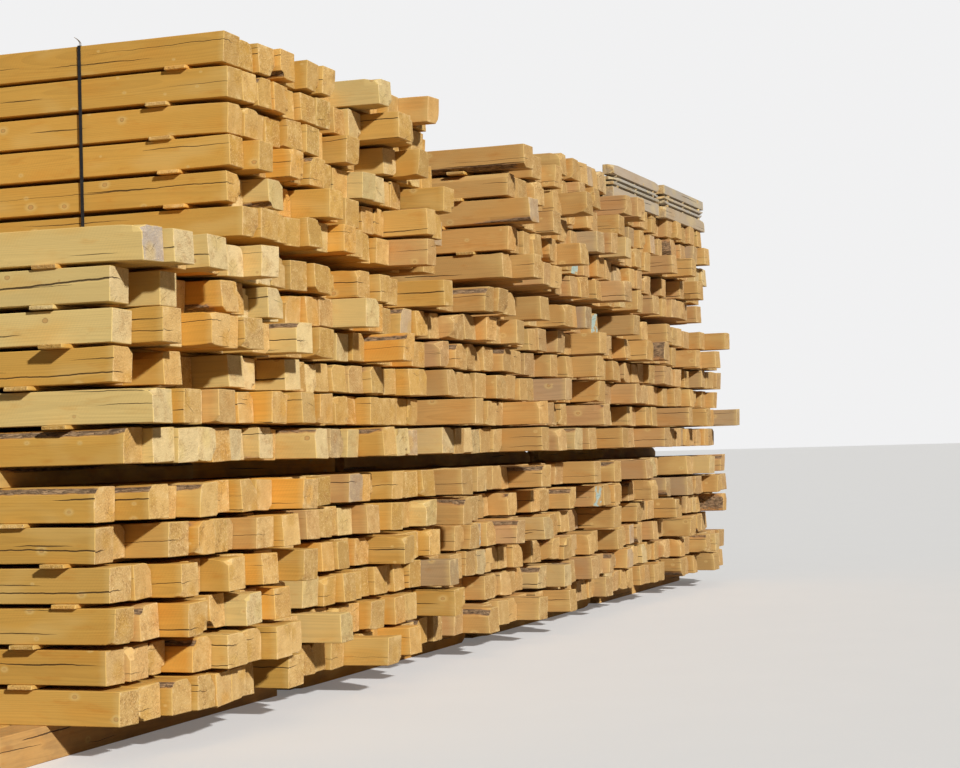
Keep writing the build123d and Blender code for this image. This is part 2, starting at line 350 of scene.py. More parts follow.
def sawn_side_material(look, name, dirt=0.0, barked=False, stain=WOOD_STAIN):
    """The long faces of sawn softwood, from the attributes that each timber's mesh carries."""
    g = Graph(bpy.data.materials.new(name))
    gx, gy, gz = g.parts(g.attribute("grain", "Vector"))
    across, from_end, up = g.parts(g.attribute("local", "Vector"))
    tone = g.attribute("side_tone")
    chance = g.attribute("chance", "Fac")
    face_x, face_y, _ = g.parts(g.node("ShaderNodeUVMap", {"uv_map": "faces"}))

    streak = g.noise(g.vector(gx * 75.0, gy * 2.2, gz * 75.0), 1.0, 4.0, 0.66)
    blotch = g.noise(g.vector(gx * 6.0, gy * 2.4, gz * 6.0), 1.0, 1.0)
    smear = g.noise(g.vector(gx * 17.0, gy * 4.6, gz * 17.0), 1.0, 3.0, 0.62)
    kx, ky, (pick, size, _) = scattered(g, face_x, face_y, 0.27, 0.11, chance * 9.0)
    close = g.math("SQRT", kx * kx * 0.5 + ky * ky) / (0.0032 + size * size * 0.0085)
    close = close + (streak - 0.5) * 1.2 + (smear - 0.5) * 1.6
    there = pick > 0.64
    core = (1.0 - g.step(close, 0.75, 1.05)) * there
    rim = g.step(close, 0.65, 0.95) * (1.0 - g.step(close, 0.95, 1.30)) * there
    halo = (1.0 - g.step(close, 0.9, 3.4)) * there
    latewood, _ = growth_rings(g, look, gx, gy, gz, halo * 0.005)
    check, wobble = drying_checks(g, face_x, face_y, chance)
    split, lip_highlight = end_split(g, chance, from_end, up, wobble)
    check = g.math("MAXIMUM", check, split)

    # Saw marks slant across some timbers only
    saw_wave = g.math("SINE", (face_x + face_y * 0.55) * (2 * math.pi / look.saw_mark_pitch) + smear * 5.0)
    saw_marks = saw_wave * (chance > 0.45) * g.step(blotch, 0.34, 0.56)

    side = g.shade(tone, 1.07 - latewood * 0.085 - streak * 0.22 + smear * 0.09 + saw_marks * 0.018)
    side = g.mix(g.step(blotch, 0.50, 0.78) * 0.50, side, HONEY_STAIN, "MULTIPLY")
    side = g.mix(g.step(smear, 0.54, 0.78) * 0.55, side, stain, "MULTIPLY")
    side = g.mix((1.0 - g.step(blotch, 0.24, 0.46)) * 0.30, side, look.pale)
    side = g.mix((1.0 - g.step(from_end + streak * 0.05, 0.02, 0.08)) * 0.40, side, look.pale)
    side = g.mix(halo * 0.55, side, look.pale)
    side = g.mix(core * (0.06 + size * 0.40), side, KNOT_CORE)
    side = g.mix(rim * (0.05 + g.step(size, 0.6, 0.95) * 0.40), side, KNOT_RIM)
    # Painted highlight: the long edges are made lighter, as if the arrises caught the light
    edge = abs(across) + abs(up) + streak * 0.09
    side = g.mix(g.step(edge, 1.985, 2.05) * 0.50, side, g.shade(side, 1.30))
    # Painted highlight on the lip under an end split
    side = g.mix(lip_highlight * 0.45, side, g.shade(side, 1.35))
    # Painted shade: the checks and splits are darkened as the shade inside the real cracks
    side = g.mix(check * 0.92, side, SIDE_CHECK_SHADE)
    relief = (streak - 0.5) * 0.9 - check * 3.0

    if barked:
        bark = g.attribute("bark", "Fac")
        rough = g.noise(g.vector(gx * 55.0, gy * 19.0, gz * 55.0), 1.0, 4.0, 0.68)
        cells = g.node("ShaderNodeTexVoronoi", {"feature": "DISTANCE_TO_EDGE"},
                       {"Vector": g.vector(gx * 38.0 + rough * 2.2, gy * 13.0 + rough * 3.4, gz * 38.0),
                       "Scale": 1.0})
        scales = g.step(cells, 0.0, 0.13)
        bark_colour = g.mix(g.step(rough, 0.32, 0.64), tuple(value * 0.50 for value in look.bark),
                            tuple(value * 1.60 for value in look.bark))
        bark_colour = g.mix((1.0 - scales) * 0.6, bark_colour, BARK_GAPS)
        reach = bark + (rough - 0.5) * 0.7 * g.step(bark, 0.0, 0.3)
        mask = g.step(reach, 0.42, 0.55)
        side = g.mix(g.step(reach, 0.20, 0.46) * 0.6, side, INNER_BARK)
        side = g.mix(mask, side, bark_colour)
        relief = relief * (1.0 - mask) + (rough * 3.0 + scales * 1.5) * mask
    if dirt:
        grime = g.noise(g.vector(gx * 11.0, gy * 4.0, gz * 11.0), 1.0, 3.0, 0.6)
        side = g.mix(g.step(grime, 0.38, 0.74) * dirt, side, SIDE_GRIME)
    return g.finish(side, 0.76, relief, 0.0016)


def sawn_end_material(look, name, dirt=0.0):
    """Cross-cut ends: rings, torn fibres, cracks out from the pith with painted shade in them, a painted
    highlight round the rim, and a dab of paint on a few.
    """
    g = Graph(bpy.data.materials.new(name))
    gx, gy, gz = g.parts(g.attribute("grain", "Vector"))
    across, _, up = g.parts(g.attribute("local", "Vector"))
    chance = g.attribute("chance", "Fac")
    latewood, radius = growth_rings(g, look, gx, gy, gz)
    zone = g.noise(g.vector(gx * 15.0, gy * 3.0, gz * 15.0), 1.0, 2.0)
    torn = g.noise(g.vector(gx * 120.0 + gz * 30.0, gy * 30.0, gz * 88.0), 1.0, 3.0, 0.62)
    saw = g.noise(g.vector(gx * 26.0 + gz * 14.0, gy * 2.0, gz * 210.0 - gx * 60.0), 1.0, 1.0)
    ragged = g.math("FRACT", chance * 13.0)
    edge = g.math("MAXIMUM", abs(across), abs(up)) + zone * 0.05
    border = g.step(edge, 0.62, 0.98)
    pits = g.step(torn, 0.555, 0.62) * (0.10 + g.step(zone, 0.42, 0.60) * 0.90) * (0.40 + ragged * 0.60)
    tufts = (1.0 - g.step(torn, 0.36, 0.43)) * (0.30 + ragged * 0.45 + border * 0.25)

    angle = g.math("ARCTAN2", gz, gx) * 1.5 + chance * 20.0 + zone * 0.5
    spoke = abs(g.math("SINE", angle)) * radius
    reach = 1.0 - g.step(radius, 0.05 + chance * 0.06, 0.09 + chance * 0.07)
    crack = (1.0 - g.step(spoke, 0.0006, 0.0022)) * reach * (g.math("FRACT", chance * 7.0) > 0.72)

    heart = 1.0 - g.step(radius + (zone - 0.5) * 0.03, 0.055, 0.10)
    end = g.mix(heart * 0.55, g.attribute("end_tone"), g.attribute("side_tone"))
    end = g.shade(end, 1.14 - latewood * 0.15 - saw * 0.24)
    end = g.mix(g.step(zone, 0.46, 0.72) * (0.14 + ragged * 0.24), end, END_STAIN)
    end = g.mix(pits * 0.34, end, END_PITS)
    patches = 1.0 - g.step(zone, 0.30, 0.46)
    end = g.mix(patches * (0.15 + border * 0.30), end, END_PATCHES)
    end = g.mix(tufts * 0.60, end, END_TUFTS)
    # Painted highlight along the rim of the end
    end = g.mix(g.step(edge, 0.93, 1.03) * 0.30, end, END_RIM_HIGHLIGHT)
    daub = (chance > 0.996) * g.step(zone + (1.0 - edge) * 0.25, 0.54, 0.60)
    end = g.mix(daub * 0.75, end, look.daub)
    height, _, depth = g.parts(g.attribute("split", "Vector"))
    split = abs((up - height) * HALF_HEIGHT + (zone - 0.5) * 0.03) / (0.0006 + depth * 0.0012)
    split = (1.0 - g.step(split, 0.5, 1.0)) * (depth > 0.5) * (1.0 - g.step(across, -0.5, 0.3))
    crack = g.math("MAXIMUM", crack, split)
    # Painted shade in the cracks and splits of the end
    end = g.mix(crack * 0.90, end, END_CRACK_SHADE)
    if dirt:
        end = g.mix(g.step(zone, 0.30, 0.70) * dirt, end, END_GRIME)
    relief = (torn - 0.5) * -2.2 - pits * 0.6 + (saw - 0.5) * 0.9 - crack * 2.4
    return g.finish(end, 0.84, relief, 0.0022)


def wood_materials(look, name, dirt=0.0, stain=WOOD_STAIN):
    """Side, end and barked side, in the order of the material numbers on the faces."""
    return (sawn_side_material(look, f"{name}_side", dirt, False, stain),
            sawn_end_material(look, f"{name}_end", dirt),
            sawn_side_material(look, f"{name}_waney_side", dirt, True, stain))


def plain_band_material(name, colour, roughness, scratch):
    """A matt moulded band with fine lengthwise ribs and dusty wear."""
    g = Graph(bpy.data.materials.new(name))
    place = g.node("ShaderNodeTexCoord", output="Object")
    px, py, pz = g.parts(place)
    ribs = g.math("SINE", py * 2600.0)
    dust = g.noise(place, 38.0, 4.0, 0.6)
    worn = g.mix(g.step(dust, 0.45, 0.8) * scratch, colour, (0.34, 0.30, 0.24))
    scuffs = g.noise(g.vector(px * 300.0, py * 20.0, pz * 300.0), 1.0, 2.0)
    return g.finish(worn, roughness + (dust - 0.5) * 0.2, ribs * 0.3 + scuffs * 0.5, 0.0004)


def seal_material(name):
    """Crimped galvanised steel."""
    g = Graph(bpy.data.materials.new(name))
    place = g.node("ShaderNodeTexCoord", output="Object")
    spangle = g.node("ShaderNodeTexVoronoi", None, {"Vector": place, "Scale": 240.0})
    grime = g.noise(place, 90.0, 3.0)
    colour = g.mix(g.step(grime, 0.5, 0.8) * 0.5, g.shade((0.42, 0.42, 0.42), 0.8 + spangle * 0.3),
                   (0.16, 0.11, 0.08))
    return g.finish(colour, 0.38 + grime * 0.25, grime, 0.0003, metallic=0.85)


def seen_directly(g):
    """1 for a ray that shows the thing itself, and 0 for one that only gathers its light."""
    path = g.node("ShaderNodeLightPath")
    return g.math("MAXIMUM", path, g.math("MAXIMUM", path.sibling("Is Glossy Ray"),
                                          path.sibling("Is Transmission Ray")))


def floor_material(look):
    """A plain pale floor that keeps the object's shadow and throws back little light."""
    g = Graph(bpy.data.materials.new("pale_floor"))
    place = g.node("ShaderNodeTexCoord", output="Object")
    seen = seen_directly(g)
    grain = g.noise(place, 1.5, 3.0)
    colour = g.mix(seen, look.floor_bounce, g.shade(look.floor, 0.985 + grain * 0.03))
    return g.finish(colour, 0.9, grain, 0.001, 0.2, glow=(look.floor, seen * 0.16))


def merged_copy(node_name, delimit=()):
    """A copy of a node's mesh with its doubles merged and its flat faces whole."""
    bm = bmesh.new()
    bm.from_mesh(NODES[node_name].data)
    bmesh.ops.remove_doubles(bm, verts=bm.verts, dist=MERGE_DISTANCE)
    bmesh.ops.dissolve_limit(bm, angle_limit=FLAT_ANGLE, verts=bm.verts, edges=bm.edges, delimit=set(delimit))
    return bm


def break_edges(bm, width):
    """Cuts a narrow flat along every edge."""
    bmesh.ops.bevel(bm, geom=list(bm.edges), offset=width, offset_type="OFFSET", segments=1, profile=0.5,
                    affect="EDGES", material=-1, clamp_overlap=True)


def mesh_from(bm, name, materials):
    """The mesh of a finished bmesh."""
    mesh = bpy.data.meshes.new(name)
    bm.to_mesh(mesh)
    bm.free()
    for material in materials:
        mesh.materials.append(material)
    return mesh


def add_object(name, data):
    """A new object in the scene."""
    made = bpy.data.objects.new(name, data)
    bpy.context.scene.collection.objects.link(made)
    return made


def timber_mesh(node_name):
    """A merged copy of a node's mesh with a number on each timber, and how many there are."""
    bm = merged_copy(node_name, ["NORMAL"])
    number = bm.verts.layers.float.new("timber")
    seen = set()
    count = 0
    for start in bm.verts:
        if start in seen:
            continue
        group = [start]
        seen.add(start)
        for vert in group:
            vert[number] = count
            for edge in vert.link_edges:
                other = edge.other_vert(vert)
                if other not in seen:
                    seen.add(other)
                    group.append(other)
        count += 1
    return bm, count


def tag_wane(bm):
    """Marks the slanting faces, which are the waney edges."""
    wane = bm.faces.layers.int.new("wane")
    for face in bm.faces:
        face[wane] = int(max(abs(part) for part in face.normal) < 0.97)


def edges_along(bm, axis, least):
    """The edges that run along an axis and are longer than a limit."""
    found = []
    for edge in bm.edges:
        line = edge.verts[1].co - edge.verts[0].co
        if abs(line[axis]) > least and abs(line[axis]) > 0.98 * line.length:
            found.append(edge)
    return found


def cut_grid(bm, grid, long_axis, least):
    """Cuts every face into a grid, with its own number of cuts across and along."""
    across_cuts, along_cuts = grid
    for axis in range(3):
        cuts = along_cuts if axis == long_axis else across_cuts
        bmesh.ops.subdivide_edges(bm, edges=edges_along(bm, axis, least), cuts=cuts, use_grid_fill=True)


def read(items, key, kind, width=1):
    """One value or vector of every item of a mesh."""
    values = np.empty(len(items) * width, kind)
    items.foreach_get(key, values)
    return values.reshape(-1, width) if width > 1 else values


def write_places(mesh, places):
    mesh.vertices.foreach_set("co", places.astype(np.float32).ravel())


def extents(values, owner, count):
    """The lowest and highest of the values that belong to each timber."""
    lows = np.full((count, *values.shape[1:]), np.inf)
    highs = -lows
    np.minimum.at(lows, owner, values)
    np.maximum.at(highs, owner, values)
    return lows, highs


def gather(mesh, count):
    """Vertex places, the timber that each belongs to, and each timber's box."""
    places = read(mesh.vertices, "co", np.float32, 3).astype(np.float64)
    owner = np.rint(read(mesh.attributes["timber"].data, "value", np.float32)).astype(int)
    return places, owner, *extents(places, owner, count)


def field(places, scale, seed):
    """Smooth noise from -1 to 1 at each place."""
    shift = Vector((seed * 13.7, seed * 7.1, seed * 3.3))
    scaled = places * np.array(scale)
    return np.array([noise.noise(Vector(place) + shift) for place in scaled])


def put(mesh, name, kind, values):
    """Writes one attribute of the mesh's vertices."""
    layer = mesh.attributes.new(name, kind, "POINT")
    key = {"FLOAT": "value", "FLOAT_VECTOR": "vector", "FLOAT_COLOR": "color"}[kind]
    layer.data.foreach_set(key, np.ascontiguousarray(values, dtype=np.float32).ravel())


def crowd_rows(places, owner, lows, highs, axis, power):
    """Moves the rows of a grid towards both ends of each timber, where its shape changes most."""
    low = lows[owner, axis]
    high = highs[owner, axis]
    share = (places[:, axis] - low) / (high - low)
    about = 2 * share - 1
    pushed = np.sign(about) * (1 - (1 - np.abs(about)) ** power)
    inner = (share > 0.004) & (share < 0.996)
    places[:, axis] = np.where(inner, low + (pushed + 1) / 2 * (high - low), places[:, axis])


def face_coordinates(mesh, owner, lows, highs, long_axis, starts):
    """Unrolls the long faces of each timber into a UV map, along and round it. Also tells which faces are
    ends, the vertex at each corner of a face, and how many corners each face has."""
    layer = mesh.uv_layers.new(name="faces")
    corner_vert = read(mesh.loops, "vertex_index", np.int32)
    normals = read(mesh.polygons, "normal", np.float32, 3)
    totals = read(mesh.polygons, "loop_total", np.int32)
    normal = np.repeat(normals, totals, axis=0)
    who = owner[corner_vert]
    side_axis = 1 - long_axis
    place = read(mesh.vertices, "co", np.float32, 3)[corner_vert]
    across = place[:, side_axis] - lows[who, side_axis]
    up = place[:, 2] - lows[who, 2]
    width = highs[who, side_axis] - lows[who, side_axis]
    height = highs[who, 2] - lows[who, 2]
    along = place[:, long_axis] - lows[who, long_axis] + starts[who]
    round_it = np.where(normal[:, 2] > 0.7, height + across,
                        np.where(normal[:, 2] < -0.7, 2 * height + width + (width - across),
                                 np.where(normal[:, side_axis] < 0, up, height + width + (height - up))))
    round_it = round_it + starts[who] * 3.1
    layer.data.foreach_set("uv", np.stack([along, round_it], axis=1).astype(np.float32).ravel())
    ends = np.abs(normals[:, long_axis]) > 0.75
    return ends, corner_vert, totals


def blend(first, second, share):
    return [first[i] * (1 - share) + second[i] * share for i in range(3)]


# The tones of a timber, how often each is mixed into the first one, and how often an end has greyed
TONES = ("golden", "pale", "orange", "pinkish", "grey", "weathered")
SECOND_SHARES = (5, 1.2, 1, 0.6, 0.2, 0)
LILAC_CHANCE = 0.015


def timber_colours(rng, look, wear, lead=None):
    """The colours of one timber's sides and ends, picked by share unless a leading tone is given."""
    first = rng.choices(TONES, weights=wear.shares)[0]
    second = rng.choices(TONES, weights=SECOND_SHARES)[0]
    if lead:
        first = lead
    level = rng.uniform(0.90, 1.08) * wear.level
    mixed = blend(getattr(look, first), getattr(look, second), rng.uniform(0.0, 0.12 if lead else 0.35))
    mixed = blend(mixed, look.dusty, wear.dust)
    side = [min(1.0, value * level) for value in mixed]
    fresh = look.cream if first == "pale" else look.end_grain
    end = blend(fresh, side, rng.uniform(*wear.end_share))
    if rng.random() < LILAC_CHANCE:
        end = blend(end, look.lilac, 0.5)
    level = rng.uniform(0.84, 1.10) * wear.level
    return side, [min(1.0, value * level) for value in end]


def near_side_timbers(lows, side_axis, among=None):
    """The timber on the near side of each course, from the lowest course up."""
    nearest = {}
    for number in range(len(lows)) if among is None else among:
        low = lows[number]
        course = round(low[2] / COURSE_PITCH, 0)
        if course not in nearest or low[side_axis] < lows[nearest[course]][side_axis]:
            nearest[course] = number
    return [nearest[course] for course in sorted(nearest)]


# How much of a timber's side colour its ends take on
FRESH_ENDS = (0.05, 0.45)
DRIED_ENDS = (0.40, 0.85)
STICKER_ENDS = (0.4, 0.9)


class Wear(NamedTuple):
    """How one group of timbers is coloured and shaped. The last five follow the near side of a bundle, from
    the lowest course or gap up."""

    shares: tuple  # how often a timber has each of the tones
    level: float = 1.0
    dust: float = 0.0
    end_share: tuple = FRESH_ENDS
    chips: float = 0.10
    wane: float = 0.0
    bark_faces: float = 0.0
    splits: float = 0.25
    tips: float = 0.0
    skew: float = 0.004
    scant: float = 0.0
    overrun: float = 0.0
    leads: tuple = ()
    near_wanes: tuple = ()
    near_splits: tuple = ()
    reaches: tuple = ()
    greyed_end: bool = False


# The first draws of a near side timber with bark along its top edge, and of one with none: whether it is
# waney, which side, up or down, how far the wane runs, how deep it is, its bark, and whole faces of bark
WANEY_DRAWS = (0.0, 0.0, 1.0, 0.9, 0.1, 0.0, 1.0)
CLEAN_DRAWS = (1.0, 0.0, 1.0, 0.0, 0.0, 0.9, 1.0)

# The materials of the faces, in the order of wood_materials
SIDE_FACE, END_FACE, BARKED_FACE = range(3)


def shape_timbers(mesh, count, look, wear, long_axis, seed):
    """Bends, chips and colours every timber of a mesh, and writes the attributes that its materials read."""
    rng = random.Random(seed)
    places, owner, lows, highs = gather(mesh, count)
    side_axis = 1 - long_axis
    middle = (lows + highs) / 2
    half = (highs - lows) / 2
    rel = (places - middle[owner]) / half[owner]
    across, along, up = rel[:, side_axis], rel[:, long_axis], rel[:, 2]
    from_end = (1 - np.abs(along)) * half[owner, long_axis]
    end_sign = np.sign(along)
    draws = np.array([[rng.random() for _ in range(14)] for _ in range(count)])
    nearest = near_side_timbers(lows, side_axis)
    for number, waney_top in zip(nearest, wear.near_wanes):
        draws[number, :7] = WANEY_DRAWS if waney_top else CLEAN_DRAWS
    (wane_draw, side_draw, up_draw, run_draw, depth_draw, bark_draw, face_draw, skew_draw, tilt_draw,
     near_tip_draw, far_tip_draw, scant_draw, twist_draw, chance) = draws[owner].T
    moved = places.copy()

    # Waney edges that come and go along one long edge
    slow = field(places, [1.7 if axis == long_axis else 0.3 for axis in range(3)], seed % 97)
    fine = field(places, [9.0 if axis == long_axis else 2.0 for axis in range(3)], seed % 89 + 5)
    waney = wane_draw < wear.wane
    edge_side = np.where(side_draw < 0.5, -1.0, 1.0)
    edge_up = np.where(up_draw < 0.2, -1.0, 1.0)
    near_side = ((across * edge_side + 1) / 2).clip(0, 1)
    near_up = ((up * edge_up + 1) / 2).clip(0, 1)
    edge = np.clip((near_side * near_up - 0.72) / 0.28, 0, 1) ** 1.2
    run = np.clip(slow * 1.6 + run_draw * 1.3 - 0.25 + fine * 0.25, 0, 1) * waney
    cut = edge * run * (WANE_DEPTH[0] + WANE_DEPTH[1] * depth_draw)
    moved[:, side_axis] -= cut * edge_side
    moved[:, 2] -= cut * edge_up
    bark = edge * np.clip(run * 1.8, 0, 1) * np.where(bark_draw < 0.7, 1.0, 0.3)

    # Whole faces left with bark, on a few
    face = np.clip((across * edge_side - 0.86) / 0.1, 0, 1) * (0.78 - np.abs(up) * 0.4)
    bark = np.maximum(bark, face * (face_draw < wear.bark_faces))

    # Corners chipped off at the ends
    for corner_side, corner_up in ((-1, -1), (-1, 1), (1, -1), (1, 1)):
        chip_draw, size_draw, slant_draw = np.array([[rng.random() for _ in range(3)]
                                                     for _ in range(count)])[owner].T
        size = CHIP_SIZE[0] + CHIP_SIZE[1] * size_draw
        off_side = (1 - across * corner_side) * half[owner, side_axis]
        off_up = (1 - up * corner_up) * half[owner, 2]
        away = np.sqrt(off_side ** 2 + off_up ** 2 + (from_end * 0.4) ** 2)
        bite = np.clip(1 - away / size, 0, 1) ** 0.8 * (chip_draw < wear.chips) * size
        moved[:, side_axis] -= bite * corner_side * 0.35 * slant_draw
        moved[:, 2] -= bite * corner_up * 0.40
        moved[:, long_axis] -= bite * end_sign * 0.8

    # Ends cut a little out of square, and rough from the saw
    near_end = np.clip(1 - from_end / SKEW_REACH, 0, 1)
    skew = wear.skew * (1 + across * (skew_draw * 2 - 1) * end_sign + up * (tilt_draw * 2 - 1))
    rough = field(places, (55.0, 55.0, 55.0), seed % 71 + 11)
    moved[:, long_axis] -= end_sign * near_end * skew - near_end * rough * END_ROUGHNESS

    # Free tips bend and twist a little, and scant timbers are lower
    tip = np.clip(1 - from_end / TIP_REACH, 0, 1) ** 1.6
    lift = (np.where(end_sign < 0, near_tip_draw, far_tip_draw) * 2 - 1) * wear.tips
    twist = (twist_draw * 2 - 1) * wear.tips * 0.7 * tip
    moved[:, 2] += tip * lift + twist * across
    moved[:, side_axis] -= twist * up * 0.5
    scant = np.clip(scant_draw * 1.6 - 0.5, 0, 1) * wear.scant
    moved[:, 2] -= np.clip((up + 1) / 2, 0, 1) * scant

    # Near stickers of the first bundle stick out farther, and bearers run past both sides
    front = lows[:, long_axis].min() + 0.1
    in_front = [number for number in range(count) if lows[number, long_axis] < front]
    for number, reach in zip(near_side_timbers(lows, side_axis, in_front), wear.reaches):
        moved[(owner == number) & (from_end < AT_END) & (end_sign < 0), long_axis] -= reach
    moved[:, long_axis] += end_sign * (from_end < AT_END) * wear.overrun

    # Long edges worn unevenly
    worn = np.clip((np.abs(across) + np.abs(up) - 1.9) / 0.1, 0, 1) * np.clip(fine + 0.2, 0, 1) * EDGE_WEAR
    moved[:, side_axis] -= worn * np.sign(across)
    moved[:, 2] -= worn * np.sign(up)
    write_places(mesh, moved)

    # Grain: each timber's own wood, measured from the pith of its tree
    pith = np.array([[rng.uniform(-0.12, 0.12), rng.uniform(0, 60), rng.uniform(-0.13, 0.08)]
                     for _ in range(count)])
    offset = (places - middle[owner])[:, [side_axis, long_axis, 2]]
    put(mesh, "grain", "FLOAT_VECTOR", offset + pith[owner] * (-1, 1, -1))
    put(mesh, "local", "FLOAT_VECTOR", np.stack([across, from_end, up], axis=1))
    leads = dict(zip(nearest, wear.leads))
    tones = [timber_colours(rng, look, wear, leads.get(number)) for number in range(count)]
    if wear.greyed_end:
        tones[nearest[-1]] = (tones[nearest[-1]][0], list(look.lilac))
    splits = []
    for _ in range(count):
        reach = (0.25 + 1.5 * rng.random() ** 2) * (rng.random() < wear.splits)
        splits.append((rng.uniform(-0.6, 0.6), rng.uniform(-0.03, 0.03), reach))
    for number, split in zip(nearest, wear.near_splits):
        splits[number] = split
    put(mesh, "split", "FLOAT_VECTOR", np.array(splits)[owner])
    for name, colours in zip(("side_tone", "end_tone"), zip(*tones)):
        put(mesh, name, "FLOAT_COLOR", np.array([(*colour, 1.0) for colour in colours])[owner])
    put(mesh, "chance", "FLOAT", chance)

    # Each face's material: side, end or barked side
    is_end, corner_vert, totals = face_coordinates(mesh, owner, lows, highs, long_axis, pith[:, 1])
    if "wane" in mesh.attributes:
        slanting = read(mesh.attributes["wane"].data, "value", np.int32)
        slant = np.zeros(len(places), bool)
        slant[corner_vert[np.repeat(slanting == 1, totals)]] = True
        first, last = extents(places[slant, long_axis], owner[slant], count)
        inside = np.minimum(places[:, long_axis] - first[owner], last[owner] - places[:, long_axis])
        fade = np.clip(0.15 + inside / 0.25, 0, 1)
        bark = np.where(slant, np.maximum(bark, fade * (0.30 + 0.70 * (bark_draw < 0.75))), bark)
    put(mesh, "bark", "FLOAT", bark)
    face_bark = np.zeros(len(mesh.polygons))
    np.maximum.at(face_bark, np.repeat(np.arange(len(mesh.polygons)), totals), bark[corner_vert])
    kinds = np.where(is_end, END_FACE, np.where(face_bark > 0.01, BARKED_FACE, SIDE_FACE))
    mesh.polygons.foreach_set("material_index", kinds.astype(np.int32))


def dress(node_name, piece_name, materials, look, wear, grid, long_axis=1, crowd=2.6):
    """A detailed piece in the place of a node of timbers."""
    bm, count = timber_mesh(node_name)
    tag_wane(bm)
    shortest = min(edge.calc_length() for edge in bm.edges)
    break_edges(bm, min(look.arris, shortest * 0.2))
    cut_grid(bm, grid, long_axis, least=0.03)
    mesh = mesh_from(bm, piece_name, materials)
    places, owner, lows, highs = gather(mesh, count)
    crowd_rows(places, owner, lows, highs, long_axis, crowd)
    write_places(mesh, places)
    shape_timbers(mesh, count, look, wear, long_axis, sum(ord(letter) * 31 for letter in piece_name))
    piece = add_object(piece_name, mesh)
    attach(piece, "root")
    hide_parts(node_name)


# How often a timber has each of the tones
GOLDEN_SHARES = (6.5, 0.6, 1.2, 0.5, 0.04, 0.0)
PALE_SHARES = (3.0, 3.4, 1.5, 0.5, 0.04, 0.0)
DULL_SHARES = (3.8, 0.5, 0.9, 3.6, 0.20, 0.0)
WEATHERED_SHARES = (0.0, 0.5, 0.0, 0.3, 0.0, 7.0)
FIRST_DULL_BUNDLE = 4

# How bright and how dusty the timbers are, from the first bundle of a tier on, the last value for the rest
FAR_LEVELS = (1.0, 0.96, 0.91, 0.89)
FAR_DUST = (0.0, 0.06, 0.32)

# The near side timbers of the first bundles, from the lowest course up: their tones, which have bark along
# the top edge, and their splits, each with its height from -1 to 1, sink in a metre and reach from the end
UNSPLIT = (0.0, 0.0, 0.0)
NEAR_SIDES = {
    "bottom_bundle_1": {
        "leads": ("golden",) * 6,
        "near_wanes": (False,) * 5 + (True,),
        "near_splits": (UNSPLIT, UNSPLIT, UNSPLIT, (-0.36, -0.004, 2.0), (-0.25, 0.004, 1.9), UNSPLIT),
    },
    "middle_bundle_1": {
        "leads": ("golden", "pale", "golden", "pale", "pale", "pale"),
        "near_wanes": (True,) + (False,) * 5,
        "near_splits": (UNSPLIT, UNSPLIT, (-0.42, -0.010, 1.8), UNSPLIT, (0.30, -0.048, 2.6), UNSPLIT),
        "greyed_end": True,
    },
    "top_bundle_1": {
        "leads": ("golden",) * 6,
        "near_wanes": (False,) * 6,
        "near_splits": (UNSPLIT, (0.22, -0.006, 1.4), UNSPLIT, UNSPLIT, UNSPLIT, (0.45, -0.01, 0.9)),
    },
}

# How much farther the near stickers of the first bundles stick out, from the lowest gap up
STICKER_REACHES = {
    "bottom_stickers": (0.0, 0.018, 0.0, 0.030, 0.012),
    "middle_stickers": (0.022, 0.026, 0.050, 0.0, 0.0),
}


class LUMBER_OT_bundles(bpy.types.Operator):
    """Make the sawn timbers of every bundle"""

    bl_idname = "lumber.bundles"
    bl_label = "Bundles of timbers"

    def execute(self, context):
        look = context.scene.lumber_timbers
        materials = wood_materials(look, "sawn")
        for node_name in BUNDLE_NODES:
            number = int(node_name[-1])
            grid = NEAR_GRID if node_name in NEAR_BUNDLES else FINE_GRID if number == 1 else FAR_GRID
            fresh = number == 1 and not node_name.startswith("top")
            shares = DULL_SHARES if number >= FIRST_DULL_BUNDLE else GOLDEN_SHARES
            if node_name == "middle_bundle_1":
                shares = PALE_SHARES
            wear = Wear(shares, wane=0.42, tips=look.tip_play, skew=look.end_skew, scant=look.height_loss,
                        bark_faces=0.012, **NEAR_SIDES.get(node_name, {}),
                        level=FAR_LEVELS[min(number, len(FAR_LEVELS)) - 1],
                        dust=FAR_DUST[min(number, len(FAR_DUST)) - 1],
                        end_share=FRESH_ENDS if fresh else DRIED_ENDS)
            dress(node_name, node_name.replace("bundle", "timbers"), materials, look, wear, grid)
        return {"FINISHED"}


class LUMBER_OT_stickers(bpy.types.Operator):
    """Make the stickers between the courses"""

    bl_idname = "lumber.stickers"
    bl_label = "Stickers"

    def execute(self, context):
        look = context.scene.lumber_timbers
        materials = wood_materials(look, "sticker", 0.05)
        for node_name in STICKER_NODES:
            wear = Wear(GOLDEN_SHARES, chips=0.0, splits=0.0, reaches=STICKER_REACHES.get(node_name, ()),
                        end_share=STICKER_ENDS)
            dress(node_name, node_name.replace("stickers", "sticker_boards"), materials, look,
                  wear, STICKER_GRID, long_axis=0, crowd=2.0)
        return {"FINISHED"}


class LUMBER_OT_bearers(bpy.types.Operator):
    """Make the bearers under the tiers"""

    bl_idname = "lumber.bearers"
    bl_label = "Bearers"

    def execute(self, context):
        look = context.scene.lumber_timbers
        materials = wood_materials(look, "bearer", 0.35)
        for node_name in BEARER_NODES:
            overrun = 0.0 if node_name == "ground_bearers" else BEARER_OVERRUN
            wear = Wear(DULL_SHARES, chips=0.4, wane=0.2, skew=0.006, overrun=overrun)
            dress(node_name, node_name.replace("bearers", "bearer_timbers"), materials, look, wear,
                  BEARER_GRID, long_axis=0)
        return {"FINISHED"}


